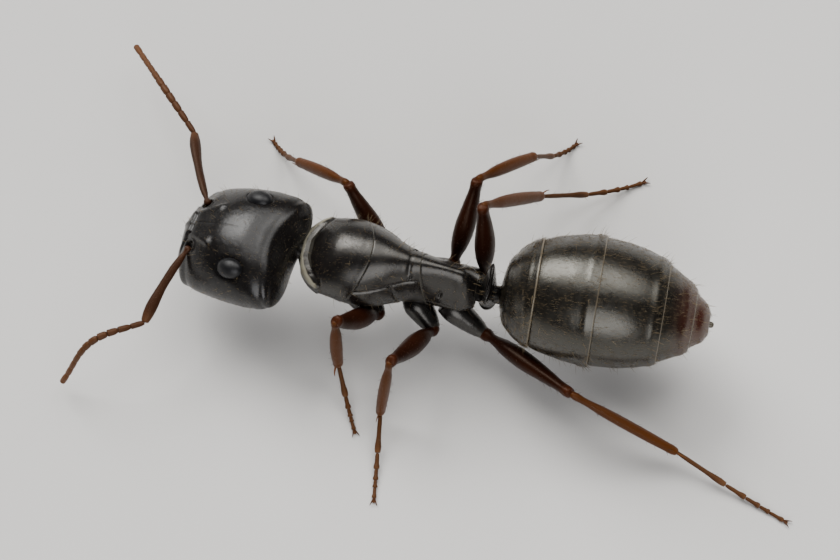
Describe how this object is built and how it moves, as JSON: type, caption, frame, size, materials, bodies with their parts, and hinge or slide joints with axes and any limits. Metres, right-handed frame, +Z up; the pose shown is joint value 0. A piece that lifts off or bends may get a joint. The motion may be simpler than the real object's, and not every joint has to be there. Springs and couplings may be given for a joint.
{
  "type": "carpenter ant model",
  "caption": "Life-size still model of a carpenter ant worker, black and glossy, standing in mid stride on its feet with feelers held forward and down.",
  "frame": {"origin": "on the floor under the middle of the whole ant's box", "axes": "the ant looks along -Y, its left side is +X, and +Z is up from the floor it stands on"},
  "size_m": [0.0095, 0.0168, 0.0038],
  "materials": {
    "chitin": "gloss",
    "gaster": "satin",
    "eye": "gloss",
    "jaw": "gloss",
    "feeler": "satin",
    "leg": "gloss",
    "foot": "satin",
    "hair": "satin"
  },
  "bodies": {
    "root": {"head": "chitin", "eye_left": "eye", "eye_right": "eye", "mandible_left": "jaw", "mandible_right": "jaw", "antenna_left_scape": "feeler", "antenna_left_funiculus_base": "feeler", "antenna_left_funiculus_tip": "feeler", "antenna_right_scape": "feeler", "antenna_right_funiculus_base": "feeler", "antenna_right_funiculus_tip": "feeler", "pronotum": "chitin", "mesothorax": "chitin", "propodeum": "chitin", "petiole": "chitin", "gaster_segment_1": "gaster", "gaster_segment_2": "gaster", "gaster_segment_3": "gaster", "gaster_segment_4": "gaster", "gaster_segment_5": "gaster", "leg_fore_left_coxa": "chitin", "leg_fore_left_femur": "leg", "leg_fore_left_tibia": "leg", "leg_fore_left_tarsus": "foot", "leg_fore_right_coxa": "chitin", "leg_fore_right_femur": "leg", "leg_fore_right_tibia": "leg", "leg_fore_right_tarsus": "foot", "leg_mid_left_coxa": "chitin", "leg_mid_left_femur": "leg", "leg_mid_left_tibia": "leg", "leg_mid_left_tarsus": "foot", "leg_mid_right_coxa": "chitin", "leg_mid_right_femur": "leg", "leg_mid_right_tibia": "leg", "leg_mid_right_tarsus": "foot", "leg_hind_left_coxa": "chitin", "leg_hind_left_femur": "leg", "leg_hind_left_tibia": "leg", "leg_hind_left_tarsus": "foot", "leg_hind_right_coxa": "chitin", "leg_hind_right_femur": "leg", "leg_hind_right_tibia": "leg", "leg_hind_right_tarsus": "foot"}
  },
  "joints": []
}
